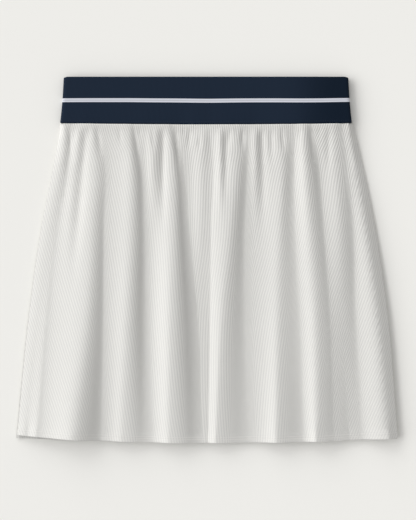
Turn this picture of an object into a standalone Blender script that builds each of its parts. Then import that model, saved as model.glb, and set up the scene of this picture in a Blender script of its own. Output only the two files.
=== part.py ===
"""A skort laid flat with its front up.

A flared ribbed skirt, cut as a front and a back panel, is gathered onto a wide
elastic waistband, and plain shorts are sewn into the same band. The front panel
falls in seven folds that grow from the band to the hem. The back panel lies
flat on the surface and ripples only near its hem, below the legs of the shorts.

Frame: metres, +Z up, waistband towards +Y, hem towards -Y. The origin is the
centre of the bounding box's underside, on the surface that the skort lies on.
Lengths below are in millimetres, and MM turns them into metres.
"""
import math
from collections import namedtuple

import bmesh
import bpy

MM = 0.001

# Driving sizes of the whole garment, in millimetres.
TOTAL_LENGTH = 390.0
BAND_HEIGHT = 50.8
SEAM_GAP = 0.3
CLOTH = 1.0  # wall of the ribbed cloth and of the shorts

# Waistband: an elastic tube pressed flat, a little wider at its lower edge.
BAND_WALL = 2.2
BAND_SLOT = 4.6  # space left between its two walls, which the gathers keep apart
BAND_HALF_TOP = 151.8
BAND_HALF_BOTTOM = 155.6
BAND_END_STEPS = 8  # facets round each side fold

# The band stands at the top of the length, and the skirt hangs from its lower edge.
BAND_TOP_Y = TOTAL_LENGTH / 2
BAND_BOTTOM_Y = BAND_TOP_Y - BAND_HEIGHT
SKIRT_TOP_Y = BAND_BOTTOM_Y - SEAM_GAP
SKIRT_LENGTH = SKIRT_TOP_Y + TOTAL_LENGTH / 2

# Heights of the middle of each layer where it lies flat, from the surface up.
BACK_LEVEL = CLOTH / 2
SHORTS_BACK_LEVEL = BACK_LEVEL + CLOTH + SEAM_GAP
SHORTS_FRONT_LEVEL = SHORTS_BACK_LEVEL + CLOTH + SEAM_GAP
SIDE_SEAM_LEVEL = BACK_LEVEL + CLOTH + SEAM_GAP
FRONT_LEVEL = 1.5 * BAND_WALL + BAND_SLOT  # middle of the band's front wall

# Sections are given at the waist, at MID_SHARE of the skirt's length, and at the hem.
MID_SHARE = 0.45
PANEL_ROWS = 11
FLANK_STEPS = 4  # facets between a fold's crest and the next hollow
FLANK_EASE = 0.55  # how far a crest or hollow stays level, as a share of the flank

# How far each panel reaches to either side, and how much its hem rises there.
Reach = namedtuple("Reach", "waist mid hem")
Outline = namedtuple("Outline", "left right hem_rise")
FRONT_OUTLINE = Outline(left=Reach(155.5, 182.5, 202.0), right=Reach(155.5, 182.0, 200.5), hem_rise=7.0)
BACK_OUTLINE = Outline(left=Reach(155.5, 182.5, 203.0), right=Reach(155.5, 182.0, 203.0), hem_rise=4.0)

# The front's folds from left to right, each a crest or the hollow beside it:
# its distance from the centre line, and its height above the surface.
Fold = namedtuple("Fold", "name x_waist x_mid x_hem z_waist z_mid z_hem")
FRONT_FOLDS = (
    Fold("left roll", -151, -176, -196, 7.0, 5.0, 4.2),
    Fold("left dip", -144, -168, -187, 6.8, 4.8, 4.0),
    Fold("crest 1", -124, -125, -143, 8.8, 12.2, 14.4),
    Fold("hollow 1", -114, -108, -112, 8.2, 6.2, 5.2),
    Fold("crest 2", -84, -83, -86, 8.8, 11.6, 11.8),
    Fold("hollow 2", -76, -68, -62, 7.8, 5.8, 6.0),
    Fold("crest 3", -43, -36, -43, 9.0, 12.0, 13.6),
    Fold("hollow 3", -33, -21, -16, 7.4, 5.4, 4.8),
    Fold("crest 4", 24, 19, 9, 9.0, 11.6, 12.6),
    Fold("hollow 4", 44, 40, 40, 7.6, 5.8, 6.0),
    Fold("crest 5", 76, 77, 75, 8.8, 10.8, 11.8),
    Fold("hollow 5", 91, 94, 98, 7.8, 5.8, 6.0),
    Fold("crest 6", 103, 113, 118, 9.0, 11.6, 12.6),
    Fold("hollow 6", 112, 129, 147, 7.6, 5.6, 5.4),
    Fold("right dip", 146, 162, 174, 8.6, 7.2, 8.2),
    Fold("right roll", 151.5, 176, 194.5, 9.0, 12.4, 13.6),
)

# The back's ripples lie under the front's folds, and start below the shorts.
RIPPLE_START = 0.68
RIPPLE_SHARE = 0.45  # of the front fold's height above the band's front wall

# Shorts: their half widths at waist and hip, their legs, and their lengths.
SHORTS_HALF_WAIST = 142.0
SHORTS_HALF_HIP = 160.0
SHORTS_HIP_DROP = 140.0
SHORTS_LENGTH = 225.0
SHORTS_RISE = 150.0  # from the band down to the crotch
LEG_INNER = 9.0  # from the centre line to a leg's inner edge at its hem
LEG_OUTER = 165.0
CROTCH_HALF = 4.0

# Colours as linear RGB, with roughness and metallic value.
Finish = namedtuple("Finish", "colour roughness metallic")
NAVY_ELASTIC = Finish((0.016, 0.023, 0.040), 0.75, 0.0)
WHITE_RIB = Finish((0.80, 0.79, 0.77), 0.85, 0.0)
WHITE_JERSEY = Finish((0.76, 0.76, 0.75), 0.80, 0.0)


def clear_scene():
    """Remove every object of the open scene."""
    for thing in list(bpy.data.objects):
        bpy.data.objects.remove(thing, do_unlink=True)


def cloth_material(name, finish):
    """Make a Principled material from a finish."""
    material = bpy.data.materials.new(name)
    material.use_nodes = True
    shader = material.node_tree.nodes["Principled BSDF"]
    shader.inputs["Base Color"].default_value = (*finish.colour, 1.0)
    shader.inputs["Roughness"].default_value = finish.roughness
    shader.inputs["Metallic"].default_value = finish.metallic
    return material


def add_piece(name, mesh_data, finish, smooth=True):
    """Turn a bmesh, in millimetres, into a named object of the scene, in metres."""
    bmesh.ops.scale(mesh_data, verts=mesh_data.verts, vec=(MM, MM, MM))
    bmesh.ops.recalc_face_normals(mesh_data, faces=mesh_data.faces)
    mesh = bpy.data.meshes.new(name)
    mesh_data.to_mesh(mesh)
    mesh_data.free()
    mesh.materials.append(cloth_material(name, finish))
    piece = bpy.data.objects.new(name, mesh)
    bpy.context.collection.objects.link(piece)
    if smooth:
        mesh.shade_smooth()
        mesh.set_sharp_from_angle(angle=math.radians(40))
    return piece


def between_stations(share, waist, mid, hem):
    """Follow the parabola through the values at the waist, at MID_SHARE and at the hem."""
    at_waist = (share - MID_SHARE) * (share - 1) / MID_SHARE
    at_mid = share * (share - 1) / (MID_SHARE * (MID_SHARE - 1))
    at_hem = share * (share - MID_SHARE) / (1 - MID_SHARE)
    return waist * at_waist + mid * at_mid + hem * at_hem


def flank(start, end, steps):
    """Points of a smooth flank that leaves start and reaches end level, without the end."""
    (x_start, z_start), (x_end, z_end) = start, end
    reach = (x_end - x_start) * FLANK_EASE
    points = []
    for step in range(steps):
        t = step / steps
        # Bezier weights of the start, its level handle, the end's handle and the end.
        a, b, c, d = (1 - t) ** 3, 3 * t * (1 - t) ** 2, 3 * t * t * (1 - t), t ** 3
        x = a * x_start + b * (x_start + reach) + c * (x_end - reach) + d * x_end
        z = (a + b) * z_start + (c + d) * z_end
        points.append((x, z))
    return points


def front_height(fold, share):
    """Height of a fold of the front panel at a share of the skirt's length."""
    return between_stations(share, fold.z_waist, fold.z_mid, fold.z_hem)


def back_height(fold, share):
    """Height of the back panel under a fold: level, then a ripple below the shorts."""
    if not fold.name.startswith("crest"):
        return BACK_LEVEL
    below = max(0.0, (share - RIPPLE_START) / (1 - RIPPLE_START))
    ease = below * below * (3 - 2 * below)
    return BACK_LEVEL + RIPPLE_SHARE * ease * max(0.0, front_height(fold, share) - FRONT_LEVEL)


def panel_section(outline, fold_height, edge_level, share):
    """Cross section of a panel, from its left to its right edge, as (x, z) points."""
    knots = [(-between_stations(share, *outline.left), edge_level)]
    for fold in FRONT_FOLDS:
        x = between_stations(share, fold.x_waist, fold.x_mid, fold.x_hem)
        knots.append((x, fold_height(fold, share)))
    knots.append((between_stations(share, *outline.right), edge_level))
    points = []
    for start, end in zip(knots, knots[1:]):
        points += flank(start, end, FLANK_STEPS)
    return points + [knots[-1]]


def skirt_panel(name, outline, fold_height, edge_level):
    """Build one skirt panel: sections from waist to hem, joined to a sheet and thickened."""
    mesh_data = bmesh.new()
    rows = []
    for row in range(PANEL_ROWS + 1):
        share = row / PANEL_ROWS
        section = panel_section(outline, fold_height, edge_level, share)
        half = max(abs(section[0][0]), section[-1][0])
        corners = []
        for x, z in section:
            drop = share * (SKIRT_LENGTH - outline.hem_rise * (x / half) ** 2)
            corners.append(mesh_data.verts.new((x, SKIRT_TOP_Y - drop, z)))
        rows.append(corners)
    for upper, lower in zip(rows, rows[1:]):
        for i in range(len(upper) - 1):
            mesh_data.faces.new((upper[i], lower[i], lower[i + 1], upper[i + 1]))
    piece = add_piece(name, mesh_data, WHITE_RIB)
    wall = piece.modifiers.new("wall", "SOLIDIFY")
    wall.thickness = CLOTH * MM
    wall.offset = 0.0
    wall.use_even_offset = False
    return piece


def flattened_loop(half_width, inset, y):
    """Points of the band's cross section, inset from its outer face, at one height y."""
    outer_radius = BAND_WALL + BAND_SLOT / 2
    radius = outer_radius - inset
    centre_x = half_width - outer_radius
    points = []
    for side in (1, -1):
        for step in range(BAND_END_STEPS + 1):
            turn = side * math.pi * (step / BAND_END_STEPS - 0.5)
            points.append((side * (centre_x + radius * math.cos(turn)), y,
                           outer_radius + radius * math.sin(turn)))
    return points


def waistband():
    """Build the waistband: an elastic tube pressed flat, open at its top and bottom."""
    mesh_data = bmesh.new()
    loops = []
    for y, half in ((BAND_TOP_Y, BAND_HALF_TOP), (BAND_BOTTOM_Y, BAND_HALF_BOTTOM)):
        for inset in (0.0, BAND_WALL):
            loops.append([mesh_data.verts.new(point) for point in flattened_loop(half, inset, y)])
    top_outer, top_inner, bottom_outer, bottom_inner = loops
    walls = ((top_outer, bottom_outer), (bottom_outer, bottom_inner),
             (bottom_inner, top_inner), (top_inner, top_outer))
    for first, second in walls:
        for i in range(len(first)):
            j = (i + 1) % len(first)
            mesh_data.faces.new((first[i], first[j], second[j], second[i]))
    return add_piece("waistband", mesh_data, NAVY_ELASTIC)


def shorts_outline():
    """Outline of one flat side of the shorts, clockwise from its upper left corner."""
    hip_y = SKIRT_TOP_Y - SHORTS_HIP_DROP
    crotch_y = SKIRT_TOP_Y - SHORTS_RISE
    leg_y = SKIRT_TOP_Y - SHORTS_LENGTH
    right = [(SHORTS_HALF_WAIST, SKIRT_TOP_Y), (SHORTS_HALF_HIP, hip_y), (LEG_OUTER, leg_y),
             (LEG_INNER, leg_y), (CROTCH_HALF, crotch_y)]
    left = [(-x, y) for x, y in reversed(right)]
    return right + left


def shorts_side(name, level):
    """Build the front or the back of the shorts as a level sheet at its height."""
    mesh_data = bmesh.new()
    lower = [mesh_data.verts.new((x, y, level - CLOTH / 2)) for x, y in shorts_outline()]
    face = mesh_data.faces.new(lower)
    raised = bmesh.ops.extrude_face_region(mesh_data, geom=[face])["geom"]
    tops = [part for part in raised if isinstance(part, bmesh.types.BMVert)]
    bmesh.ops.translate(mesh_data, verts=tops, vec=(0, 0, CLOTH))
    bmesh.ops.triangulate(mesh_data, faces=[part for part in mesh_data.faces if len(part.verts) > 4])
    return add_piece(name, mesh_data, WHITE_JERSEY, smooth=False)


def main():
    """Build every piece of the skort."""
    clear_scene()
    waistband()
    skirt_panel("skirt_back", BACK_OUTLINE, back_height, BACK_LEVEL)
    shorts_side("shorts_back", SHORTS_BACK_LEVEL)
    shorts_side("shorts_front", SHORTS_FRONT_LEVEL)
    skirt_panel("skirt_front", FRONT_OUTLINE, front_height, SIDE_SEAM_LEVEL)


main()
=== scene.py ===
"""The looks of a ribbed skort that lies flat with its front up.

The CAD frame gives every place and size: its waistband, skirt panels and shorts are
replaced here by detailed cloth. A skirt panel is made as its flat cut, a sector of a
ring with straight ribs, and then laid over a table of folds, so that its ribs lean as
the cut makes them. Lengths are in millimetres until they meet the frame, in metres.
"""
import logging
import math
from dataclasses import dataclass
from enum import Enum

import bmesh
import bpy
import numpy as np
from bmesh.types import BMesh
from bpy.types import Material, Node, NodeSocket, NodeTree, Object
from mathutils import Matrix, Vector


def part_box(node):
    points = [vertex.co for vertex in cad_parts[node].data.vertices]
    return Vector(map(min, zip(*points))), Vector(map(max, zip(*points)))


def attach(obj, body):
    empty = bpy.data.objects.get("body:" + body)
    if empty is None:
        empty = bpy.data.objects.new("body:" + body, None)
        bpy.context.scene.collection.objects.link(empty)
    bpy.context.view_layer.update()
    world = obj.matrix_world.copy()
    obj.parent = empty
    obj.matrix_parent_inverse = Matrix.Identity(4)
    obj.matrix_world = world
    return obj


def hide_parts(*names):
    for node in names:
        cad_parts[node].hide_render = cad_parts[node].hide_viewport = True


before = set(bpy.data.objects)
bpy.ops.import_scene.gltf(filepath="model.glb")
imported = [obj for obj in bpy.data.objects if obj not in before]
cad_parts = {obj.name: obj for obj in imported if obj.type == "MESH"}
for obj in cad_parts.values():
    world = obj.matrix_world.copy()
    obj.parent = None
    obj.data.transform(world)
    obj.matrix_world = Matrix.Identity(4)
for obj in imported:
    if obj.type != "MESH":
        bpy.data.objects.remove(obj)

LOG = logging.getLogger("skort")
MM = 0.001
BODY = "root"
RIB_PITCH = 2.8  # from one rib of the knit to the next

# Types that come up often.
Array = np.ndarray
Pair = tuple[float, float]
Triple = tuple[float, float, float]


class Slot(Enum):
    """The record's material slots."""

    BAND = "band_elastic"
    SKIRT = "rib_knit"
    SHORTS = "shorts_jersey"


class Face(Enum):
    """The way that the right side of a laid cloth looks."""

    UP = 1
    DOWN = -1


# ---- helpers

def linear(hex_colour: str) -> tuple[float, ...]:
    """Turn an sRGB hex colour into linear RGBA.

    Args:
        hex_colour: Six hex digits after a hash sign.

    Returns:
        The linear red, green and blue, and an alpha of one.
    """
    channels = [int(hex_colour[i:i + 2], 16) / 255 for i in (1, 3, 5)]
    return (*[c / 12.92 if c <= 0.04045 else ((c + 0.055) / 1.055) ** 2.4 for c in channels], 1.0)


def smooth_step(value: Array | float) -> Array | float:
    """Ease a value from 0 to 1, level at both ends."""
    clipped = np.clip(value, 0.0, 1.0)
    return clipped * clipped * (3 - 2 * clipped)


def bump(value: Array, middle: float, width: float) -> Array:
    """Give a soft bump of height one around a middle."""
    return np.exp(-((value - middle) / width) ** 2)


def add_node(tree: NodeTree, kind: str, **wiring: object) -> Node:
    """Add a shader node, set it up and link its inputs.

    Args:
        tree: The node tree that gets the node.
        kind: The node's Blender type name, without its first word ShaderNode.
        **wiring: A setting of the node, if the name is in small letters. Otherwise an
            input, by name or _index, and the socket or node that feeds it, or its value.

    Returns:
        The new node.
    """
    node = tree.nodes.new("ShaderNode" + kind)
    for name, value in wiring.items():
        if name.islower():
            setattr(node, name, value)
            continue
        socket = node.inputs[int(name[1:]) if name[0] == "_" else name]
        if isinstance(value, (Node, NodeSocket)):
            tree.links.new(value.outputs[0] if isinstance(value, Node) else value, socket)
        else:
            socket.default_value = value
    return node


def lay_cloth(shape: BMesh, points: Array, across: Array, down: Array) -> None:
    """Lay a cut cloth, and give it the UV map "cut", in metres.

    Args:
        shape: The cloth's bmesh, flat.
        points: Where its points come to lie.
        across: Their places across the cut.
        down: Their places down the cut.
    """
    for vert, point in zip(shape.verts, points):
        vert.co = point * MM
    layer = shape.loops.layers.uv.new("cut")
    shape.verts.index_update()
    for face in shape.faces:
        for loop in face.loops:
            i = loop.vert.index
            loop[layer].uv = (across[i] * MM, down[i] * MM)


def new_piece(name: str, shape: BMesh, material: Material,
              node: str | None = None) -> Object:
    """Turn a bmesh, in metres, into a piece of the object that rides on its body.

    Args:
        name: The piece's name.
        shape: Its bmesh, which is freed.
        material: Its finish.
        node: The CAD node that it stands for, if any.

    Returns:
        The new object.
    """
    for edge in shape.edges:
        edge.smooth = not edge.is_boundary
    mesh = bpy.data.meshes.new(name)
    shape.to_mesh(mesh)
    shape.free()
    mesh.shade_smooth()
    mesh.materials.append(material)
    piece = bpy.data.objects.new(name, mesh)
    bpy.context.collection.objects.link(piece)
    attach(piece, BODY)
    if node:
        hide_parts(node)
    LOG.info("%s: %d faces", name, len(mesh.polygons))
    return piece


def thicken(piece: Object, wall: float) -> None:
    """Give a sheet its wall, inwards from its right side.

    Args:
        piece: The sheet.
        wall: Its thickness.
    """
    solid = piece.modifiers.new("wall", "SOLIDIFY")
    solid.thickness = wall * MM
    solid.offset = -1.0
    solid.use_even_offset = False


# ---- folds

STATIONS = (0.0, 0.12, 0.30, 0.60, 1.0)  # shares of the skirt's length where folds are given


def along(values: tuple[float, ...], share: float) -> float:
    """Follow a smooth curve through the values at the stations.

    Args:
        values: One value for each station.
        share: Share of the length.

    Returns:
        The value there, on a cubic whose slopes are those of its neighbours.
    """
    slopes = np.gradient(np.array(values, float), np.array(STATIONS))
    i = min(max(int(np.searchsorted(STATIONS, share, side="right")) - 1, 0), len(STATIONS) - 2)
    step = STATIONS[i + 1] - STATIONS[i]
    t = (share - STATIONS[i]) / step
    start, end = (1 + 2 * t) * (1 - t) ** 2, t * t * (3 - 2 * t)
    lead, trail = t * (1 - t) ** 2 * step, -t * t * (1 - t) * step
    return start * values[i] + end * values[i + 1] + lead * slopes[i] + trail * slopes[i + 1]


@dataclass(frozen=True)
class Fold:
    """A crest or a hollow that runs from the waist to the hem.

    across is its distance from the centre line and height its height above the surface,
    both at the stations. reach says how far it stays level towards its left and its
    right neighbour, as shares of the flank, and tuck what the hem adds to that: where
    the two reaches of a flank add up to more than one, the cloth rolls over itself.
    spare says how much of the panel's spare cloth a hollow takes, next to the others.
    """

    name: str
    across: tuple[float, ...]
    height: tuple[float, ...]
    reach: Pair
    tuck: Pair = (0.0, 0.0)
    spare: float = 1.0


@dataclass(frozen=True)
class Crease:
    """A small trough, or a ridge if its depth is negative, laid over the folds.

    It runs straight from top, at start below the band, to foot, at end below the band,
    and fades over the last part of its length.
    """

    top: float
    foot: float
    end: float
    depth: float
    width: float
    start: float = 1.0


FRONT_FOLDS = (
    Fold("left edge", (-154.6, -161.6, -173.7, -188.1, -201.2), (3.4, 3.6, 3.6, 3.6, 3.4), (0, 0), spare=0),
    Fold("left roll", (-150, -153, -164, -179, -192), (7.2, 6.2, 5.8, 5.8, 5.8), (0.4, 0.35)),
    Fold("left dip", (-144, -147, -158, -170, -180), (7.3, 5, 5.6, 7.4, 9.2), (0.3, 0.05), (0, 0.4)),
    Fold("crest 1", (-124, -118, -120, -125.5, -142), (9.4, 10.1, 12.9, 16.2, 18.2), (0.25, 0.4)),
    Fold("hollow 1", (-116, -107.5, -108.5, -109, -111), (9.2, 8.4, 9.5, 10.2, 6.2), (0.15, 0.6), (0.1, 0)),
    Fold("crest 2", (-84, -80, -80, -83.5, -88), (10, 11.9, 13, 14.5, 10.4), (0.2, 0.6), (0.1, -0.1)),
    Fold("hollow 2", (-77, -69, -65, -63.5, -59), (9.5, 7.8, 7.6, 7.3, 5.8), (0.4, 0.5)),
    Fold("crest 3", (-43, -37, -36, -37, -38), (9.9, 10.4, 13.2, 16.3, 12.4), (0.3, 0.5)),
    Fold("hollow 3", (-33, -24, -18, -8, -3), (9.1, 7.1, 7.4, 7.4, 5.6), (0.7, 0.7), (-0.3, 0), spare=2),
    Fold("shelf", (2, 7, 5, 4, 2.2), (9.4, 8.8, 8.8, 7.4, 5.4), (0.2, 0.05)),
    Fold("crest 4", (29, 30, 25, 17, 10), (10, 11.4, 13.2, 12.8, 10.2), (0.8, 0.5), (-0.65, -0.2)),
    Fold("hollow 4", (46, 45, 42, 42, 46), (9.1, 8.2, 7.8, 6.5, 4.2), (0.3, 0.7)),
    Fold("crest 5", (78, 81, 79, 77, 75), (9.8, 10.4, 12, 12.3, 12.6), (0.2, 0.3), (0, -0.1)),
    Fold("hollow 5", (93, 92.5, 93, 98, 103), (9.1, 7.4, 8.8, 8.9, 7), (0.35, 0.4), (-0.1, 0.2)),
    Fold("crest 6", (102, 104.5, 108.5, 115, 117), (10.1, 12.6, 14.6, 15.3, 13.4), (0.2, 0.5), (0, -0.3)),
    Fold("hollow 6", (113, 120, 125, 132, 136), (8.5, 7.4, 9.4, 10.7, 8.6), (0.4, 0.4), (-0.6, -0.6)),
    Fold("right swell", (134, 137, 141, 145, 153), (9, 9, 11.3, 9.3, 4.8), (0.4, 0.4), (-0.6, -0.3)),
    Fold("right dip", (145, 150.5, 156.5, 158.5, 165), (7.3, 6.6, 7, 6.3, 4.2), (0.3, 0.35), (-0.3, 0)),
    Fold("right roll", (151.5, 158.5, 168.5, 182, 194), (7.6, 7.2, 9.4, 11.8, 11.6), (0.4, 0.12)),
    Fold("right edge", (156.8, 166, 178.2, 193, 204), (1.9, 1.9, 2.6, 5.2, 6.4), (0.05, 0), spare=0),
)

FRONT_CREASES = (
    # Long ones, which split a fold into smaller gathers on its way up to the band.
    Crease(-135, -150, 170, -1.1, 5),
    Crease(-127, -144, 180, 1.6, 4.5),
    Crease(-132, -145, 190, 0.9, 4.5, start=40),
    Crease(-57, -57, 120, -1.8, 5.5),
    Crease(-46, -46, 125, 2.2, 4),
    Crease(-5, -7, 210, -1.8, 8),
    Crease(4, 4, 110, 0.3, 4),
    Crease(15, 15, 110, -1.6, 3.8),
    Crease(21, 21, 90, 1.2, 3.6),
    Crease(52, 54, 110, -1.5, 4.2),
    Crease(59, 62, 130, 1.7, 4),
    # Short gathers, which fade a little way below the band.
    Crease(-145, -145, 40, 1.2, 2.4),
    Crease(-139, -142, 28, 1.1, 2.2),
    Crease(-125, -124, 18, 1, 2),
    Crease(-116, -112, 44, 1, 3),
    Crease(-92, -91, 24, 0.9, 2.2),
    Crease(-77, -73, 60, 0.8, 3),
    Crease(-71, -70, 18, 0.9, 2),
    Crease(-57, -56, 34, 1.2, 2.6),
    Crease(-33, -29, 60, 1, 3),
    Crease(-24, -23, 14, 0.9, 2),
    Crease(-18, -18, 30, 1, 2.2),
    Crease(-7, -7, 34, 1, 2.2, start=6),
    Crease(26, 24, 28, 1.2, 2.4),
    Crease(32, 32, 14, 0.8, 2),
    Crease(39, 38, 32, 1.5, 2.6),
    Crease(69, 71, 50, 1, 3),
    Crease(80, 83, 34, 1.2, 2.6),
    Crease(100, 100, 20, 1, 2.2),
    Crease(110, 115, 60, 1, 3),
    Crease(121, 121, 14, 0.9, 2),
    Crease(130, 131, 60, 1.2, 3),
)


@dataclass
class Drape:
    """The laid form of one skirt panel, as a fine table of points over its cloth.

    Attributes:
        folds: Its edges, crests and hollows from left to right.
        creases: Troughs and ridges on top of them.
        top_y: Where its upper edge lies at the centre line.
        length: From its upper edge down to the hem at the centre line.
        waist_rise: How much higher its upper edge lies at both ends.
        hem_rise: How much higher the hem lies at the left and at the right edge.
        cloth_widths: The cut's width at the waist and at the hem.
        face: The way its right side looks.
    """

    folds: tuple[Fold, ...]
    creases: tuple[Crease, ...]
    top_y: float
    length: float
    waist_rise: float
    hem_rise: Pair
    cloth_widths: Pair
    face: Face = Face.UP

    rows: int = 171
    columns: int = 1801
    flank_points: int = 48
    full_depth: float = 6.0  # a hollow this deep takes up spare cloth
    most_packed: float = 3.0
    fall_hides: Pair = (0.35, 0.3)  # start and length of a falling flank's foot
    rise_hides: float = 0.2  # share of a rising flank that is still its foot
    crease_start: float = 14.0  # length over which a crease deepens
    crease_fade: float = 1.6  # a crease fades over its last part, one over this

    def __post_init__(self) -> None:
        """Work out the table of points, and the normals of the cloth's upper side."""
        self.points = np.array([self.section(share) for share in np.linspace(0, 1, self.rows)])
        down = np.gradient(self.points, axis=0)
        right = np.gradient(self.points, axis=1)
        normals = np.cross(down, right)
        self.normals = normals / np.linalg.norm(normals, axis=2, keepdims=True)

    def flank(self, first: Fold, second: Fold, share: float) -> Array:
        """Lay the flank between two neighbouring folds.

        Args:
            first: The fold on its left.
            second: The fold on its right.
            share: Share of the length.

        Returns:
            Rows of x, z and how far the cloth there lies hidden, from 0 to 1.
        """
        x0, x3 = along(first.across, share), along(second.across, share)
        z0, z3 = along(first.height, share), along(second.height, share)
        x1 = x0 + max(0.0, first.reach[1] + share * first.tuck[1]) * (x3 - x0)
        x2 = x3 - max(0.0, second.reach[0] + share * second.tuck[0]) * (x3 - x0)
        t = np.linspace(0, 1, self.flank_points, endpoint=False)
        a, b, c, d = (1 - t) ** 3, 3 * t * (1 - t) ** 2, 3 * t * t * (1 - t), t ** 3
        foot, over = self.fall_hides
        hidden = smooth_step((t - foot) / over) if z3 < z0 else 1 - smooth_step(t / self.rise_hides)
        hollow = second if z3 < z0 else first
        hidden = hidden * smooth_step(abs(z3 - z0) / self.full_depth) * hollow.spare
        return np.column_stack((a * x0 + b * x1 + c * x2 + d * x3, (a + b) * z0 + (c + d) * z3, hidden))

    def section(self, share: float) -> Array:
        """Lay one cross section of the cloth, its spare width packed into the hollows.

        Args:
            share: Share of the length.

        Returns:
            Points spread evenly over the cloth's width.
        """
        flanks = [self.flank(a, b, share) for a, b in zip(self.folds, self.folds[1:])]
        last = (along(self.folds[-1].across, share), along(self.folds[-1].height, share), 0.0)
        x, z, hidden = np.vstack((*flanks, last)).T
        z = z - self.crease_depth(x, share * self.length)
        steps = np.hypot(np.diff(x), np.diff(z))
        room = np.sum(steps * hidden[1:])
        cloth = self.cloth_widths[0] + share * (self.cloth_widths[1] - self.cloth_widths[0])
        packed = min(max(cloth - steps.sum(), 0.0) / max(room, 1e-6), self.most_packed)
        arc = np.append(0, np.cumsum(steps * (1 + packed * hidden[1:])))
        even = np.linspace(0, arc[-1], self.columns)
        x, z = np.interp(even, arc, x), np.interp(even, arc, z)
        side = np.where(x < 0, x / x[0], x / x[-1]) ** 2
        hem_rise = np.where(x < 0, self.hem_rise[0], self.hem_rise[1])
        y = self.top_y - share * self.length + side * (share * hem_rise + (1 - share) * self.waist_rise)
        return np.column_stack((x, y, z))

    def crease_depth(self, x: Array, below: float) -> Array:
        """Add up the depth of the creases along a section.

        Args:
            x: The section's places across.
            below: How far it lies below the band.

        Returns:
            The depth at each place.
        """
        depth = np.zeros_like(x)
        for crease in self.creases:
            way = (below - crease.start) / (crease.end - crease.start)
            if not 0 < way < 1:
                continue
            deepens = smooth_step((below - crease.start) / self.crease_start)
            strength = deepens * smooth_step((1 - way) * self.crease_fade)
            middle = crease.top + (crease.foot - crease.top) * way
            depth += crease.depth * strength * bump(x, middle, crease.width)
        return depth

    def place(self, across: Array, down: Array) -> tuple[Array, Array]:
        """Find where points of the cloth lie.

        Args:
            across: Their places over the width, from -1 to 1.
            down: Their shares of the length, from 0 to 1.

        Returns:
            Points on the cloth, and the normals of its right side there.
        """
        column = np.clip((across + 1) / 2, 0, 1) * (self.columns - 1)
        row = np.clip(down, 0, 1) * (self.rows - 1)
        j, i = np.minimum(column.astype(int), self.columns - 2), np.minimum(row.astype(int), self.rows - 2)
        s, t = (column - j)[:, None], (row - i)[:, None]

        def blend(table: Array) -> Array:
            """Read a table between its four nearest entries."""
            upper, lower = (table[k, j] * (1 - s) + table[k, j + 1] * s for k in (i, i + 1))
            return upper * (1 - t) + lower * t

        normals = blend(self.normals)
        normals /= np.linalg.norm(normals, axis=1, keepdims=True)
        return blend(self.points), normals * self.face.value


SEAM_HEIGHT = 1.35  # between the middles of the two panels' cloth at a side seam


def back_folds(front: tuple[Fold, ...], edges: Pair, level: float, start: float,
               share: float) -> tuple[Fold, ...]:
    """Work out the back panel's ripples, which lie under the front's crests.

    Args:
        front: The front panel's folds.
        edges: How much further out its hem reaches than the front's, at the left and right.
        level: Height of the cloth where it lies flat.
        start: Share of the length where the ripples start.
        share: A ripple's height as a share of its crest's.

    Returns:
        The back panel's folds from left to right.
    """
    ripples = []
    for fold in front:
        across = fold.across
        rises = fold.name.startswith("crest")
        height = tuple(level + (share * h * smooth_step((s - start) / (1 - start)) if rises else 0.0)
                       for h, s in zip(fold.height, STATIONS))
        if fold.name.endswith("edge"):
            out = -edges[0] if across[0] < 0 else edges[1]
            across = tuple(x + out * s for x, s in zip(across, STATIONS))
            height = tuple(max(level, h - SEAM_HEIGHT) for h in fold.height)
        ripples.append(Fold(fold.name, across, height, (0.5, 0.5)))
    return tuple(ripples)


# ---- skirt

@dataclass
class Blank:
    """A cut sheet before it is laid: its bmesh, and for each of its points four numbers."""

    shape: BMesh
    across: Array  # over the width, from -1 to 1
    down: Array  # share of the length
    side: Array  # distance from the centre line
    relief: Array  # of the ribs, from -0.5 to 0.5


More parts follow.
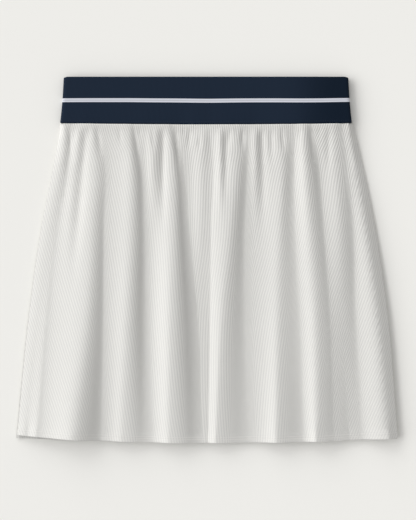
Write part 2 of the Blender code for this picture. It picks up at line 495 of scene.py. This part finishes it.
@dataclass
class RingCut:
    """The flat cut of a skirt panel: a sector of a ring, its ribs parallel to the centre line.

    Attributes:
        half_angle: From the centre line to a side seam, in degrees.
        waist_arc: Length of its upper edge.
        length: From its upper edge to its hem.
    """

    half_angle: float
    waist_arc: float
    length: float

    rib_profile: tuple[float, ...] = (0.5, 0.28, -0.5, 0.28)  # crest, flank, narrow groove, flank

    @property
    def inner_radius(self) -> float:
        """Radius of the upper edge's arc."""
        return self.waist_arc / (2 * math.radians(self.half_angle))

    @property
    def outer_radius(self) -> float:
        """Radius of the hem's arc."""
        return self.inner_radius + self.length

    @property
    def hem_arc(self) -> float:
        """Length of its hem."""
        return self.waist_arc * self.outer_radius / self.inner_radius

    @property
    def flat_size(self) -> Pair:
        """Width and length of the smallest rectangle that holds the cut."""
        angle = math.radians(self.half_angle)
        outer = self.outer_radius
        return 2 * outer * math.sin(angle), outer - self.inner_radius * math.cos(angle)

    @property
    def area(self) -> float:
        """Area of the cut, in square millimetres."""
        return math.radians(self.half_angle) * (self.outer_radius ** 2 - self.inner_radius ** 2)

    def row_shares(self) -> Array:
        """Choose where the cloth has rows of points, closer together at both edges.

        Returns:
            Shares of the length.
        """
        welt = np.array([0.0, 0.4, 0.8, 1.2, 1.6, 2.0, 2.4, 2.9, 3.6, 4.8, 6.4])
        upper = np.arange(8.5, 48, 4.0)
        lower = np.linspace(upper[-1] + 8, self.length - 18, 28)
        hem = self.length - np.array([11.5, 9.6, 8.4, 6.9, 6.0, 5.1, 4.4, 3.6, 2.8, 1.4, 0.6, 0.0])
        return np.concatenate((welt, upper, lower, hem)) / self.length

    def blank(self) -> Blank:
        """Cut the flat sheet: columns along the ribs, rows along arcs, trimmed at the sides.

        Returns:
            The sheet.
        """
        per_rib = len(self.rib_profile)
        radii = self.inner_radius + self.row_shares() * self.length
        step = RIB_PITCH / per_rib
        angle = math.radians(self.half_angle)
        half_columns = math.ceil(self.outer_radius * math.sin(angle) / step)
        shape = bmesh.new()
        bmesh.ops.create_grid(shape, x_segments=2 * half_columns, y_segments=len(radii) - 1, size=1)
        for vert in shape.verts:
            x = round(vert.co.x * half_columns) * step
            radius = radii[round((1 - vert.co.y) / 2 * (len(radii) - 1))]
            # Points that the arc doesn't reach lie past a side seam, and are cut off.
            vert.co = (x, -math.sqrt(radius ** 2 - min(abs(x), radius * 0.95) ** 2), 0)
        for side in (1, -1):
            whole = shape.verts[:] + shape.edges[:] + shape.faces[:]
            bmesh.ops.bisect_plane(shape, geom=whole, dist=1e-4, plane_co=(0, 0, 0),
                                   plane_no=(side * math.cos(angle), math.sin(angle), 0), clear_outer=True)
        flat = np.array([vert.co[:] for vert in shape.verts])
        radius = np.hypot(flat[:, 0], flat[:, 1])
        relief = np.interp((flat[:, 0] / step) % per_rib, range(per_rib + 1),
                           self.rib_profile + self.rib_profile[:1])
        return Blank(shape, np.arctan2(flat[:, 0], -flat[:, 1]) / angle,
                     (radius - self.inner_radius) / self.length, flat[:, 0], relief)


@dataclass
class SkirtPanel:
    """One ribbed skirt panel: its cut, laid in its folds, with its welt and its turned hem.

    Attributes:
        name: The piece's name.
        node: The CAD node that it stands for.
        rests_on: What lies under it; not used.
        cut: Its flat cut.
        drape: Its laid form.
        welt_height: How far the seam allowance swells the cloth just below the band.
    """

    name: str
    node: str
    rests_on: str
    cut: RingCut
    drape: Drape
    welt_height: float

    wall: float = 0.9
    rib_depth: tuple[float, ...] = (0.45, 0.33, 0.23, 0.17, 0.12)  # crest to groove, at the stations
    welt_rise: float = 1.0  # the welt swells over this length
    welt_length: float = 10.0
    seam_fade: float = 11.0  # the ribs are pressed flat this near a side seam
    hem_length: float = 9.0
    hem_step: float = 1.5  # the hem thickens over this length
    hem_height: float = 0.25
    hem_ribs: float = 0.4  # share of the ribs' depth that shows through the turned hem
    stitch_rows: Pair = (3.6, 6.0)  # above the hem's edge
    stitch_pitch: float = 3.0
    stitch_size: Triple = (2.5, 0.42, 0.34)  # length, width and height
    stitch_dent: Pair = (0.14, 0.5)  # depth and width of the line that a row of stitches draws in

    def rise(self, below: Array, relief: Array) -> Array:
        """Height of the right side over the middle of the cloth.

        Args:
            below: Distances down from the upper edge.
            relief: The ribs' relief there, from -0.5 to 0.5.

        Returns:
            The height of wall, ribs, welt, hem and stitch lines together.
        """
        share = below / self.cut.length
        from_hem = self.cut.length - below
        in_hem = smooth_step((self.hem_length - from_hem) / self.hem_step)
        depth = np.interp(share, STATIONS, self.rib_depth)
        ribs = depth * relief * (1 - (1 - self.hem_ribs) * in_hem)
        welt = self.welt_height * smooth_step(below / self.welt_rise)
        welt = welt * (1 - smooth_step(below / self.welt_length))
        depth, width = self.stitch_dent
        lines = sum(depth * bump(from_hem, row, width) for row in self.stitch_rows)
        return self.wall / 2 + ribs + welt + self.hem_height * in_hem - lines

    def build(self, cloth: Material, thread: Material) -> None:
        """Make the panel's cloth and the stitches of its hem.

        Args:
            cloth: The ribbed cloth's finish.
            thread: The stitches' finish.
        """
        blank = self.cut.blank()
        below = blank.down * self.cut.length
        from_seam = (1 - np.abs(blank.across)) * math.radians(self.cut.half_angle) * self.cut.outer_radius
        relief = blank.relief * smooth_step(from_seam / self.seam_fade)
        points, normals = self.drape.place(blank.across, blank.down)
        points += normals * self.rise(below, relief)[:, None]
        lay_cloth(blank.shape, points, blank.side, below)
        if self.drape.face is Face.DOWN:
            bmesh.ops.reverse_faces(blank.shape, faces=blank.shape.faces)
        piece = new_piece(self.name, blank.shape, cloth, self.node)
        thicken(piece, self.wall)
        stitches = self.hem_stitches(thread)

    def hem_stitches(self, thread: Material) -> Object:
        """Sew the hem with two rows of stitches.

        Args:
            thread: The stitches' finish.

        Returns:
            The stitches, as one piece.
        """
        count = int(self.cut.hem_arc / self.stitch_pitch)
        across = (np.arange(count) + 0.5) / count * 2 - 1
        shape = bmesh.new()
        for row in self.stitch_rows:
            down = np.full(count, 1 - row / self.cut.length)
            points, normals = self.drape.place(across, down)
            ahead, _ = self.drape.place(across + 0.3 / count, down)
            lift = self.rise(down * self.cut.length, np.zeros(count))[:, None]
            sew_row(shape, points + normals * lift, normals, ahead - points, self.stitch_size)
        return new_piece(self.name + "_stitches", shape, thread)


def sew_row(shape: BMesh, points: Array, normals: Array, towards: Array, size: Triple) -> None:
    """Sew a row of stitches, each a small rounded bar, into a bmesh in metres.

    Args:
        shape: The bmesh that gets the stitches.
        points: Their middles.
        normals: The cloth's normals there.
        towards: The ways that they run.
        size: Length, width and height of a stitch.
    """
    length, width, height = (s / 2 * MM for s in size)
    for point, normal, way in zip(points, normals, towards):
        up, ahead = Vector(normal).normalized(), Vector(way).normalized()
        beside = up.cross(ahead).normalized()
        turn = Matrix((beside * width, up * height, ahead * length)).transposed().to_4x4()
        turn.translation = Vector(point) * MM
        bmesh.ops.create_uvsphere(shape, u_segments=6, v_segments=4, radius=1.0, matrix=turn)


# ---- waistband

@dataclass
class Waistband:
    """The elastic waistband: one strip sewn to a loop, pressed flat, with a crowned front.

    Attributes:
        node: The CAD node that it stands for.
        half_top: Half its width at its upper edge.
        half_bottom: Half its width at its lower edge.
        top_y: Where its upper edge lies.
        height: From its upper to its lower edge.
        thick: Its thickness where it is pressed flat.
        waist_rise: How much higher its lower edge lies at both sides.
    """

    node: str
    half_top: float
    half_bottom: float
    top_y: float
    height: float
    thick: float
    waist_rise: float

    wall: float = 2.0
    column: float = 1.25  # width of a column of the mesh
    rows: int = 44
    crowding: float = 0.13  # how much closer the rows lie at both edges
    corner: float = 2.2  # radius of its upper corners, seen from above
    square: float = 0.6  # how squarely it turns at its sides: 1 would be a half round
    edge_round: float = 0.9  # how far its edges round off
    crown_ease: float = 12.0  # the crown starts over this length at both sides
    # Each swell and pucker of its front: middle, width and height.
    swells: tuple[Triple, ...] = ((88, 42, 0.5), (-45, 80, 0.3))
    puckers: tuple[Triple, ...] = (
        (-128, 9, 0.30), (-66, 12, 0.35), (-28, 10, -0.45), (-12, 9, 0.35), (18, 11, 0.45),
        (52, 10, -0.45), (78, 9, 0.30), (101, 9, 0.35), (124, 10, -0.35))
    stitch_below: float = 48.0
    stitch_pitch: float = 2.4
    stitch_size: Triple = (1.9, 0.4, 0.3)  # length, width and height
    stitch_sink: float = 0.05  # how far under its face a stitch of the back lies

    def half_width(self, below: Array) -> Array:
        """Find half the band's width.

        Args:
            below: Distances below its upper edge.

        Returns:
            Half its width at each.
        """
        way = below / self.height
        flare = (self.half_bottom - self.half_top) * (0.5 * way + 0.5 * way ** 2)
        corner = self.corner * (1 - np.sqrt(1 - np.clip(1 - below / self.corner, 0, 1) ** 2))
        return self.half_top + flare - corner

    @property
    def girth(self) -> float:
        """Length of the strip, once round at its lower edge."""
        return 4 * (self.half_bottom - self.thick / 2) + math.pi * self.thick

    def place(self, around: Array, below: Array, lift: Array) -> Array:
        """Find where points of the strip's outer face lie.

        Args:
            around: Shares of the way round, from the middle of the back over the right side.
            below: Distances below the upper edge.
            lift: Distances outwards from the face.

        Returns:
            The points.
        """
        radius = self.thick / 2
        flat = self.half_width(below) - radius
        path = around * (4 * flat + 2 * math.pi * radius)
        arc = math.pi * radius
        right_turn = np.clip((path - flat) / arc, 0, 1)
        left_turn = np.clip((path - 3 * flat - arc) / arc, 0, 1)
        back_right, front = np.clip(path, 0, flat), np.clip(path - flat - arc, 0, 2 * flat)
        back_left = np.clip(path - 3 * flat - 2 * arc, 0, flat)
        x = back_right - front + back_left
        turn = math.pi * (right_turn + left_turn)
        side, up = np.sin(turn), np.cos(turn)
        x = x + (radius + lift) * np.sign(side) * np.abs(side) ** self.square
        on_front = smooth_step(front / self.crown_ease) * smooth_step((2 * flat - front) / self.crown_ease)
        z = radius - (radius + lift) * np.sign(up) * np.abs(up) ** self.square
        z = z + on_front * self.crown(x, below / self.height)
        y = self.top_y - below + self.waist_rise * (x / self.half_bottom) ** 2 * (below / self.height) ** 2
        return np.column_stack((x, y, z))

    def crown(self, x: Array, way: Array) -> Array:
        """Find how high the front wall stands over its flat form, where gathers push it up.

        Args:
            x: Places across.
            way: Shares of the height, from the upper to the lower edge.

        Returns:
            The height at each.
        """
        swell = sum(height * bump(x, middle, width) for middle, width, height in self.swells)
        pucker = sum(height * bump(x, middle, width) for middle, width, height in self.puckers)
        return swell + pucker * way ** 2

    def build(self, elastic: Material, thread: Material) -> None:
        """Make the band and the stitches along its lower edge.

        Args:
            elastic: The band's finish.
            thread: The stitches' finish.
        """
        columns = round(self.girth / self.column)
        shape = bmesh.new()
        bmesh.ops.create_grid(shape, x_segments=columns, y_segments=self.rows, size=1)
        grid = np.array([vert.co[:] for vert in shape.verts])
        around, way = (grid[:, 0] + 1) / 2, (1 - grid[:, 1]) / 2
        below = self.height * (way - self.crowding * np.sin(2 * np.pi * way) / math.pi)
        from_edge = np.minimum(below, self.height - below)
        rounding = self.edge_round * (1 - np.sqrt(1 - np.clip(1 - from_edge / self.edge_round, 0, 1) ** 2))
        lay_cloth(shape, self.place(around, below, -rounding), around * self.girth, below)
        bmesh.ops.reverse_faces(shape, faces=shape.faces)
        bmesh.ops.remove_doubles(shape, verts=shape.verts, dist=1e-6)
        piece = new_piece("elastic_band", shape, elastic, self.node)
        thicken(piece, self.wall)
        stitches = self.stitches(thread)

    def stitches(self, thread: Material) -> Object:
        """Sew the band to the skirt with a row of short upright stitches, all round.

        Args:
            thread: The stitches' finish.

        Returns:
            The stitches, as one piece.
        """
        count = int(self.girth / self.stitch_pitch)
        around = (np.arange(count) + 0.5) / count
        below = np.full(count, self.stitch_below)
        on_back = np.abs(around - 0.5) > 0.25
        lift = np.where(on_back, -self.stitch_size[2] / 2 - self.stitch_sink, 0.0)
        middle = self.place(around, below, lift)
        outer = self.place(around, below, lift + 1)
        lower = self.place(around, below + 1, lift)
        shape = bmesh.new()
        sew_row(shape, middle, outer - middle, lower - middle, self.stitch_size)
        return new_piece("elastic_band_stitches", shape, thread)


# ---- shorts

@dataclass
class ShortsSide:
    """The front or the back of the hidden shorts: a thin jersey sheet with two legs.

    Attributes:
        name: The piece's name.
        node: The CAD node that it stands for.
        rests_on: What lies under it; not used.
        low: The CAD node's lowest corner.
        high: Its highest corner.
    """

    name: str
    node: str
    rests_on: str
    low: Array
    high: Array

    wall: float = 0.8
    waist_share: float = 0.86  # half width at the waist, as a share of that at the leg's hem
    hip_share: float = 0.97
    hip_at: float = 0.62  # share of the length
    rise_at: float = 0.667
    crotch: float = 4.0  # half the gap between the legs, at the crotch
    leg_gap: float = 9.0  # half the gap at their hems
    ripple_height: float = 0.08
    ripple_width: float = 17.0
    half_columns: int = 40
    rows: int = 56

    def outer(self, way: Array) -> Array:
        """Half width at shares of the length."""
        stations, widths = (0, self.hip_at, 1), (self.waist_share, self.hip_share, 1)
        return self.high[0] * np.interp(way, stations, widths)

    def inner(self, way: Array) -> Array:
        """Distance of the inner edge from the centre line at shares of the length."""
        down_leg = np.clip((way - self.rise_at) / (1 - self.rise_at), 0, 1)
        return np.where(way < self.rise_at, 0.0, self.crotch + (self.leg_gap - self.crotch) * down_leg)

    def build(self, jersey: Material) -> None:
        """Make the sheet.

        Args:
            jersey: Its finish.
        """
        shape = bmesh.new()
        bmesh.ops.create_grid(shape, x_segments=self.half_columns, y_segments=self.rows, size=1)
        grid = np.array([vert.co[:] for vert in shape.verts])
        way, over = (1 - grid[:, 1]) / 2, (grid[:, 0] + 1) / 2
        x = self.inner(way) + over * (self.outer(way) - self.inner(way))
        y = self.high[1] - way * (self.high[1] - self.low[1])
        middle = (self.low[2] + self.high[2]) / 2
        ripple = self.ripple_height * np.sin(x / self.ripple_width + 2 * way) * np.sin(9 * way)
        points = np.column_stack((x, y, middle + self.wall / 2 + ripple))
        lay_cloth(shape, points, x, way * (self.high[1] - self.low[1]))
        whole = shape.verts[:] + shape.edges[:] + shape.faces[:]
        bmesh.ops.mirror(shape, geom=whole, merge_dist=1e-6, axis="X", mirror_u=True)
        bmesh.ops.recalc_face_normals(shape, faces=shape.faces)
        if sum(face.normal.z for face in shape.faces) < 0:
            bmesh.ops.reverse_faces(shape, faces=shape.faces)
        area = sum(face.calc_area() for face in shape.faces)
        piece = new_piece(self.name, shape, jersey, self.node)
        thicken(piece, self.wall)


# ---- finishes

def cut_map(tree: NodeTree) -> tuple[NodeSocket, NodeSocket]:
    """Read the cloth's own map: across the cut, and down it, in metres."""
    place = add_node(tree, "SeparateXYZ", _0=add_node(tree, "UVMap", uv_map="cut"))
    return place.outputs[0], place.outputs[1]


def from_centre(tree: NodeTree) -> Node:
    """Read how far to the right of the centre line the surface lies, in metres."""
    place = add_node(tree, "TexCoord")
    return add_node(tree, "SeparateXYZ", _0=place.outputs["Object"])


def waves(tree: NodeTree, place: NodeSocket | Node, pitch: float) -> Node:
    """Lay a cosine wave over a place in metres, with a crest at every pitch in millimetres."""
    turns = add_node(tree, "Math", operation="MULTIPLY", _0=place, _1=2 * math.pi / (pitch * MM))
    return add_node(tree, "Math", operation="COSINE", _0=turns)


@dataclass(frozen=True)
class Finish:
    """The looks of a cloth or a thread.

    Attributes:
        roughness: Its roughness.
        sheen: Weight of the pale fibres that stand off it.
        gloss: Its specular level.
        relief: Depth of its finest pattern.
        relief_strength: How strongly that pattern shows.
    """

    roughness: float = 0.85
    sheen: float = 0.0
    gloss: float = 0.25
    relief: float = 0.1
    relief_strength: float = 0.4

    def pattern(self, tree: NodeTree) -> tuple[NodeSocket | tuple[float, ...], Node]:
        """Give the finish's colour, and the height of its finest pattern."""
        raise NotImplementedError

    def material(self, name: str) -> Material:
        """Build the material.

        Args:
            name: Its name.

        Returns:
            The material.
        """
        made = bpy.data.materials.new(name)
        made.use_nodes = True
        tree = made.node_tree
        shader = tree.nodes["Principled BSDF"]
        shader.inputs["Roughness"].default_value = self.roughness
        shader.inputs["Sheen Weight"].default_value = self.sheen
        shader.inputs["Specular IOR Level"].default_value = self.gloss
        colour, height = self.pattern(tree)
        if isinstance(colour, NodeSocket):
            tree.links.new(colour, shader.inputs["Base Color"])
        else:
            shader.inputs["Base Color"].default_value = colour
        bumps = add_node(tree, "Bump", Strength=self.relief_strength, Distance=self.relief * MM,
                         Height=height)
        tree.links.new(bumps.outputs[0], shader.inputs["Normal"])
        return made


@dataclass(frozen=True)
class RibKnit(Finish):
    """White rib knit of polyester and elastane: matt, with soft round ribs and fine stitches."""

    colour: str = "#DCDBD7"
    # painted shade: the grooves between the ribs are coloured darker
    groove_painted_shade: str = "#D0CFCC"
    groove_wave: Pair = (-1.0, 0.2)  # of a rib's wave, from the groove's painted shade to the rib's colour
    painted_light_falloff: Pair = (1.03, 0.95)  # painted light falloff: brightness at the left and at the right edge
    painted_falloff_reach: float = 190.0  # from the centre line
    stitch_pitch: float = 1.2  # of one loop along a rib; a finer one would not show
    stitch_lean: float = 1.6
    roughness: float = 0.88
    sheen: float = 0.08
    relief: float = 0.12
    relief_strength: float = 0.5

    def pattern(self, tree: NodeTree) -> tuple[NodeSocket, Node]:
        """Paint shade into the grooves between the ribs and a light falloff from left to right, and raise
        loops that point down the ribs.

        Args:
            tree: The material's node tree.

        Returns:
            The colour, and the height of the loops.
        """
        across, down = cut_map(tree)
        # Painted shade: the grooves are coloured darker than the ribs.
        groove_shade_mask = add_node(tree, "MapRange", _0=waves(tree, across, RIB_PITCH),
                        _1=self.groove_wave[0], _2=self.groove_wave[1])
        mix = add_node(tree, "Mix", data_type="RGBA", _0=groove_shade_mask,
                       _6=linear(self.groove_painted_shade), _7=linear(self.colour))
        # Painted light falloff: the cloth is coloured brighter at the left and darker at the right.
        painted_light_falloff = add_node(tree, "MapRange", _0=from_centre(tree), _1=-self.painted_falloff_reach * MM,
                        _2=self.painted_falloff_reach * MM, _3=self.painted_light_falloff[0], _4=self.painted_light_falloff[1])
        with_painted_falloff = add_node(tree, "VectorMath", operation="SCALE", _0=mix.outputs[2], Scale=painted_light_falloff)
        # Each loop is a chevron: its legs run away from the middle of the rib.
        rib = add_node(tree, "Math", operation="DIVIDE", _0=across, _1=RIB_PITCH * MM)
        leg = add_node(tree, "Math", operation="PINGPONG", _0=rib, _1=0.5)
        loop = add_node(tree, "Math", operation="DIVIDE", _0=down, _1=self.stitch_pitch * MM)
        lean = add_node(tree, "Math", operation="MULTIPLY_ADD", _0=leg, _1=self.stitch_lean, _2=loop)
        turns = add_node(tree, "Math", operation="MULTIPLY", _0=lean, _1=2 * math.pi)
        return with_painted_falloff.outputs[0], add_node(tree, "Math", operation="SINE", _0=turns)


@dataclass(frozen=True)
class NavyElastic(Finish):
    """Knitted navy elastic with a white stripe: dense and matt, with fine upright cords."""

    navy: str = "#182434"
    painted_shade_navy: str = "#091726"  # painted shade: the navy darkens towards the right end
    painted_shade_span: Pair = (80.0, 140.0)  # from the centre line
    stripe: str = "#CFD1DA"
    stripe_line: str = "#B9BBC3"  # along its middle
    line_span: Pair = (0.3, 0.9)  # from its middle
    stripe_middle: float = 25.4  # below the upper edge
    stripe_width: float = 4.1
    stripe_edge: float = 0.15  # half the width of its soft edge
    sway: float = 1.6  # how far its edges wander
    cord_pitch: float = 1.3
    stripe_cord_pitch: float = 1.5
    sheen: float = 0.02
    gloss: float = 0.12

    def pattern(self, tree: NodeTree) -> tuple[NodeSocket, Node]:
        """Lay the stripe, with slightly uneven edges, over the navy, paint shade towards the right end, and
        raise the cords.

        Args:
            tree: The material's node tree.

        Returns:
            The colour, and the height of the cords.
        """
        around, down = cut_map(tree)
        noise = add_node(tree, "TexNoise", noise_dimensions="1D", W=around, Scale=11.0, Detail=0.5)
        shift = add_node(tree, "Math", operation="MULTIPLY_ADD", _0=noise,
                         _1=self.sway * MM, _2=-self.sway / 2 * MM)
        level = add_node(tree, "Math", operation="ADD", _0=down, _1=shift)
        beside = add_node(tree, "Math", operation="SUBTRACT", _0=level, _1=self.stripe_middle * MM)
        off = add_node(tree, "Math", operation="ABSOLUTE", _0=beside)
        half = self.stripe_width / 2
        mask = add_node(tree, "MapRange", _0=off, _1=(half + self.stripe_edge) * MM,
                        _2=(half - self.stripe_edge) * MM)
        # Painted shade: the navy is coloured darker towards the band's right end.
        depth = add_node(tree, "MapRange", interpolation_type="SMOOTHSTEP",
                         _0=from_centre(tree), _1=self.painted_shade_span[0] * MM, _2=self.painted_shade_span[1] * MM)
        navy_with_painted_shade = add_node(tree, "Mix", data_type="RGBA", _0=depth,
                       _6=linear(self.navy), _7=linear(self.painted_shade_navy))
        off_line = add_node(tree, "MapRange", _0=off, _1=self.line_span[0] * MM,
                            _2=self.line_span[1] * MM)
        white = add_node(tree, "Mix", data_type="RGBA", _0=off_line,
                         _6=linear(self.stripe_line), _7=linear(self.stripe))
        mix = add_node(tree, "Mix", data_type="RGBA", _0=mask,
                       _6=navy_with_painted_shade.outputs[2], _7=white.outputs[2])
        cords = add_node(tree, "Mix", data_type="FLOAT", _0=mask,
                         _2=waves(tree, around, self.cord_pitch),
                         _3=waves(tree, level, self.stripe_cord_pitch))
        return mix.outputs[2], cords


@dataclass(frozen=True)
class Jersey(Finish):
    """Plain white jersey: smooth, with fine upright wales."""

    colour: str = "#E2E2E0"
    thin: str = "#DCDCDA"  # where the knit is thinner
    wale_pitch: float = 0.9
    roughness: float = 0.8
    sheen: float = 0.05
    relief: float = 0.08

    def pattern(self, tree: NodeTree) -> tuple[NodeSocket, Node]:
        """Colour the jersey a little unevenly, and raise its wales.

        Args:
            tree: The material's node tree.

        Returns:
            The colour, and the height of the wales.
        """
        across, down = cut_map(tree)
        patchy = add_node(tree, "TexNoise", noise_dimensions="1D", W=down, Scale=60.0)
        mix = add_node(tree, "Mix", data_type="RGBA", _0=patchy,
                       _6=linear(self.thin), _7=linear(self.colour))
        return mix.outputs[2], waves(tree, across, self.wale_pitch)


@dataclass(frozen=True)
class Thread(Finish):
    """Spun polyester sewing thread: matt, a little uneven."""

    colour: str = "#E8E6E2"
    roughness: float = 0.7
    relief: float = 0.05
    relief_strength: float = 0.3

    def pattern(self, tree: NodeTree) -> tuple[tuple[float, ...], Node]:
        """Give the thread one colour, and raise its twist."""
        place = add_node(tree, "TexCoord")
        return linear(self.colour), add_node(tree, "TexNoise", Vector=place.outputs["Object"], Scale=2500.0)


# ---- studio

@dataclass
class Studio:
    """Plain pale floor, one wide soft light on the left, and a pale room."""

    floor_colour: str = "#EEEDE9"
    floor_roughness: float = 0.95
    floor_size: float = 14.0
    camera_height: float = 1.70
    lens: float = 110.0
    view_centre: Pair = (0.0021, -0.0002)
    # The wide light is a row of three: how far each stands round from the left towards
    # the top, how high it stands, both in degrees, and its share of the floor's light.
    keys: tuple[Triple, ...] = ((-5, 31, 0.185), (28, 28, 0.15), (62, 20, 0.12))
    key_angle: float = 42.0  # how wide each looks from the floor, in degrees
    room_strength: float = 0.545

    def build(self) -> None:
        """Make the floor, the lights, the room and the camera."""
        self.floor()
        self.lights()
        self.camera()

    def floor(self) -> None:
        """Lay the floor that the skort lies on."""
        shape = bmesh.new()
        bmesh.ops.create_grid(shape, x_segments=1, y_segments=1, size=self.floor_size / 2)
        mesh = bpy.data.meshes.new("floor")
        shape.to_mesh(mesh)
        shape.free()
        made = bpy.data.materials.new("matt_paper")
        made.use_nodes = True
        shader = made.node_tree.nodes["Principled BSDF"]
        shader.inputs["Base Color"].default_value = linear(self.floor_colour)
        shader.inputs["Roughness"].default_value = self.floor_roughness
        shader.inputs["Specular IOR Level"].default_value = 0.0
        mesh.materials.append(made)
        floor = bpy.data.objects.new("floor", mesh)
        bpy.context.collection.objects.link(floor)

    def lights(self) -> None:
        """Hang the row of lights, and light the room evenly."""
        for round_way, height, share in self.keys:
            height = math.radians(height)
            data = bpy.data.lights.new("key", "SUN")
            data.energy = share * math.pi / math.sin(height)
            data.angle = math.radians(self.key_angle)
            key = bpy.data.objects.new("key", data)
            turn = math.radians(round_way)
            towards = Vector((-math.cos(turn), math.sin(turn), math.tan(height)))
            key.rotation_euler = towards.to_track_quat("Z", "Y").to_euler()
            bpy.context.collection.objects.link(key)
        world = bpy.data.worlds.new("room")
        world.use_nodes = True
        background = world.node_tree.nodes["Background"]
        background.inputs["Color"].default_value = (1, 1, 1, 1)
        background.inputs["Strength"].default_value = self.room_strength
        bpy.context.scene.world = world
        bpy.context.scene.view_settings.view_transform = "Standard"

    def camera(self) -> None:
        """Hang the camera straight above, with a long lens."""
        data = bpy.data.cameras.new("camera")
        data.lens = self.lens
        data.clip_end = 100
        camera = bpy.data.objects.new("camera", data)
        camera.location = (*self.view_centre, self.camera_height)
        bpy.context.collection.objects.link(camera)
        bpy.context.scene.camera = camera


# ---- skort

@dataclass
class Skort:
    """The whole garment, its sizes taken from the frame."""

    waist_rise: float = 1.5  # how much higher the waist seam lies at both sides
    band_flare: float = 3.8  # how much wider half the band is at its lower edge
    back_level: float = 0.85  # height of the middle of the back panel's cloth

    def node_box(self, node: str) -> tuple[Array, Array]:
        """Lowest and highest corner of a CAD node, in millimetres."""
        low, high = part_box(node)
        return np.array(low) / MM, np.array(high) / MM

    def build(self) -> None:
        """Make every piece of the garment."""
        self.skirt()
        self.band()
        self.shorts()

    def skirt(self) -> None:
        """Make the front and the back panel."""
        knit = RibKnit().material("white_rib_knit")
        thread = Thread().material("white_thread")
        low, high = self.node_box("skirt_front")
        top_y, length = high[1], high[1] - low[1]
        cut = RingCut(half_angle=27.5, waist_arc=396.0, length=length)
        drape = Drape(FRONT_FOLDS, FRONT_CREASES, top_y, length, self.waist_rise, hem_rise=(8.0, 5.0),
                      cloth_widths=(cut.waist_arc, cut.hem_arc))
        front = SkirtPanel("rib_front", "skirt_front", "shorts_front", cut, drape, welt_height=0.45)
        front.build(knit, thread)
        cut = RingCut(half_angle=20.0, waist_arc=335.0, length=length)
        folds = back_folds(FRONT_FOLDS, edges=(2.0, 0.0), level=self.back_level, start=0.66, share=0.25)
        drape = Drape(folds, (), top_y, length, self.waist_rise, hem_rise=(4.5, 4.0),
                      cloth_widths=(cut.waist_arc, cut.hem_arc), face=Face.DOWN)
        back = SkirtPanel("rib_back", "skirt_back", "floor", cut, drape, welt_height=0.1)
        back.build(knit, thread)

    def band(self) -> None:
        """Make the waistband."""
        low, high = self.node_box("waistband")
        band = Waistband("waistband", high[0] - self.band_flare, high[0], high[1], high[1] - low[1],
                         high[2] - low[2], self.waist_rise)
        band.build(NavyElastic().material("navy_elastic"), Thread(colour="#1D2636").material("navy_thread"))

    def shorts(self) -> None:
        """Make both sides of the hidden shorts."""
        jersey = Jersey().material("white_jersey")
        for side, rests_on in (("front", "shorts_back"), ("back", "skirt_back")):
            node = f"shorts_{side}"
            ShortsSide(f"jersey_{side}", node, rests_on, *self.node_box(node)).build(jersey)


def main() -> None:
    """Build the skort and the studio."""
    logging.basicConfig(level=logging.INFO, format="%(message)s")
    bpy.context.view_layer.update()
    Skort().build()
    Studio().build()


if __name__ == "__main__":
    main()
